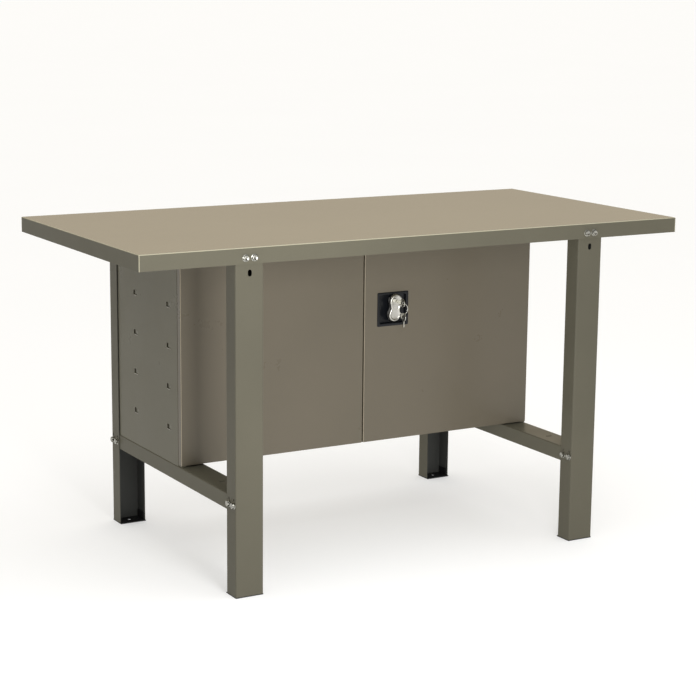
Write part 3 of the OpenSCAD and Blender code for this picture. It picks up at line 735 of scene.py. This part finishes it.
def add_split_ring(look):
    """Two close turns of flattened spring wire."""
    low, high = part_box("key_ring")
    middle = (low + high) / 2
    coil_r = (high.x - low.x) / 2 - 0.8 * MM
    turns = 2
    steps = 72
    lead = 0.76 * MM
    mesh = bmesh.new()
    rings = []
    for i in range(turns * steps + 1):
        angle = TURN * i / steps + 0.6
        out = Vector((math.cos(angle), 0, math.sin(angle)))
        y = (i / steps - turns / 2) * lead
        section = [(0.75 * MM * a, 0.36 * MM * b) for a, b in circle(1.0, 12)]
        rings.append([middle + (coil_r + r) * out + Vector((0, y + s, 0)) for r, s in section])
    rows = skin(mesh, rings)
    mesh.faces.new(rows[0])
    mesh.faces.new(rows[-1])
    stand_in(smooth_object("split_ring", mesh, look, 60), "key_ring", "key_metal", "key_ring")


# ---------- The bench ----------

add_camera()
bpy.context.scene.view_settings.view_transform = "Standard"
add_world(above=(1.10, 1.10, 1.08), front=(0.32, 0.32, 0.32), left=(0.08, 0.07, 0.04), right=(0.0, 0.0, 0.0),
          back=(1.25, 1.05, 0.76), low=(0.40, 0.35, 0.28))
add_softbox("key_front", (-0.55, -1.9, 0.95), (-0.50, 0, 0.5), (0.5, 0.9), 22)
add_softbox("top_strip", (0.6, -0.95, 3.0), (-0.2, -0.35, 0.8), (2.8, 0.25), 14, mirrored=False)
add_floor(floor_look())

top_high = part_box("worktop")[1]
# The worktop's and the doors' bends get painted highlight lines
top_highlight_bends = [(axis, top_high[i] - BEND_IN, BEND_HALF_W) for i, axis in enumerate("XYZ")]
door_low, door_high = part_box("door_right")
door_highlight_bends = [("X", x, DOOR_BEND_HALF_W) for x in (door_high.x - DOOR_BEND_IN, door_low.x + DOOR_BEND_IN)]
leg_low, leg_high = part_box("leg_rear_right")
leg_middle = (leg_low.x + leg_high.x) / 2
# The inside of the legs' channels, which gets painted shade
leg_shaded_channel = (leg_middle, leg_high.x - leg_middle - SHEET_LEG / 2, leg_high.y - SHEET_LEG / 2)
dark_tone = (0.118, 0.111, 0.083)
light_tone = (0.131, 0.123, 0.091)
paint = powder_coat("paint", dark_tone, light_tone, (0.30, 0.42), 0.07)
# The legs' paint is toned a little darker as painted shade against the key light, and is darkened inside the
# channels with painted shade
leg_paint_and_shade = powder_coat("leg_paint_and_shade", (0.111, 0.104, 0.078), (0.122, 0.114, 0.085), (0.30, 0.42), 0.07,
                        inside=leg_shaded_channel)
# Painted light: the cabinet's copy of the paint is lighter, standing in for the light that falls on its
# sides
cabinet_lit_paint = powder_coat("cabinet_lit_paint", (0.138, 0.130, 0.096), (0.152, 0.142, 0.105), (0.26, 0.38), 0.1)
# The doors' copy of the paint is warmer and lighter as a painted reflection of a warm surrounding, and has
# painted highlights along its bends
door_paint_and_sheen = powder_coat("door_paint_and_sheen", (0.138, 0.121, 0.090), (0.150, 0.130, 0.097), (0.26, 0.38), 0.25,
                         door_highlight_bends)
worktop_paint = powder_coat("worktop_paint", dark_tone, light_tone, (0.30, 0.42), 0.16, top_highlight_bends,
                            level_rough=(0.08, 0.14), wave=0.15 * MM)
# Painted highlight: the tab lips are coloured much lighter than the cabinet's paint, as if catching the
# light
lip_highlight_paint = powder_coat("lip_highlight_paint", (0.30, 0.29, 0.25), (0.44, 0.43, 0.38), (0.30, 0.42), 0.3)
primer = powder_coat("dark_primer", (0.040, 0.040, 0.036), (0.052, 0.051, 0.046), (0.5, 0.65), 0.3)
foot_paint = matt_black("foot_paint", (0.012, 0.012, 0.013), (0.4, 0.6), 700.0, 0.03 * MM)
rubber = matt_black("rubber", (0.014, 0.014, 0.016), (0.6, 0.8), 1500.0, 0.04 * MM)
nylon = matt_black("nylon", (0.025, 0.025, 0.027), (0.35, 0.5), 2500.0, 0.01 * MM)
zinc = zinc_plate("zinc")
nickel = satin_nickel("satin_nickel", (0.60, 0.59, 0.55), (0.22, 0.34))
key_nickel = satin_nickel("key_nickel", (0.66, 0.65, 0.59), (0.14, 0.28))
enamel = black_gloss("black_enamel")

EDGE = 0.4 * MM
FINE_EDGE = 0.25 * MM
SHARP = 0.0
# The first start that fits a node's name gives its look and the width of its rounded edges. The worktop,
# the legs and the stretchers stay sharp, because rounding would shade them unevenly round their holes.
NODE_LOOKS = (
    ("worktop", worktop_paint, SHARP),
    ("leg_", leg_paint_and_shade, SHARP),
    ("foot_", foot_paint, EDGE),
    ("stretcher_left", paint, SHARP),
    ("stretcher_right", paint, SHARP),
    ("top_rail_", primer, FINE_EDGE),
    ("cabinet_bolts", zinc, FINE_EDGE),
    ("cabinet_nuts", zinc, FINE_EDGE),
    ("cabinet_", cabinet_lit_paint, FINE_EDGE),
    ("shelf", cabinet_lit_paint, FINE_EDGE),
    ("hinge_bracket_", cabinet_lit_paint, FINE_EDGE),
    ("hinge_washers", nylon, FINE_EDGE),
    ("door_stop_", cabinet_lit_paint, FINE_EDGE),
    ("door_stiffener_", primer, FINE_EDGE),
    ("door_bumpers", rubber, FINE_EDGE),
    ("door_", door_paint_and_sheen, FINE_EDGE),
    ("lock_barrel", nickel, EDGE),
    ("barrel_plug", key_nickel, FINE_EDGE),
    ("", zinc, FINE_EDGE),
)
for name in NODES:
    look, edge = next((look, edge) for start, look, edge in NODE_LOOKS if name.startswith(start))
    dress(name, look, edge)

add_fasteners(zinc)
# The tab lips carry a painted highlight
add_tab_lips("left", lip_highlight_paint)
add_tab_lips("right", lip_highlight_paint)
add_turn_handle(nickel)
add_lock_plate(enamel)
ring_at = JOINT_AT["key_ring_swing"]
spare_at = JOINT_AT["spare_key_swing"]
key_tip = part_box("lock_key")[1].y - ring_at.y
spare_tip = spare_at.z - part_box("spare_key")[0].z
add_key("flat_key", "key", "lock_key", ring_at, (0, 1, 0), (0, 0, 1), key_tip, key_nickel)
add_key("spare_flat_key", "spare_key", "spare_key", spare_at, (0, 0, -1), (0, 1, 0), spare_tip, key_nickel)
add_split_ring(key_nickel)
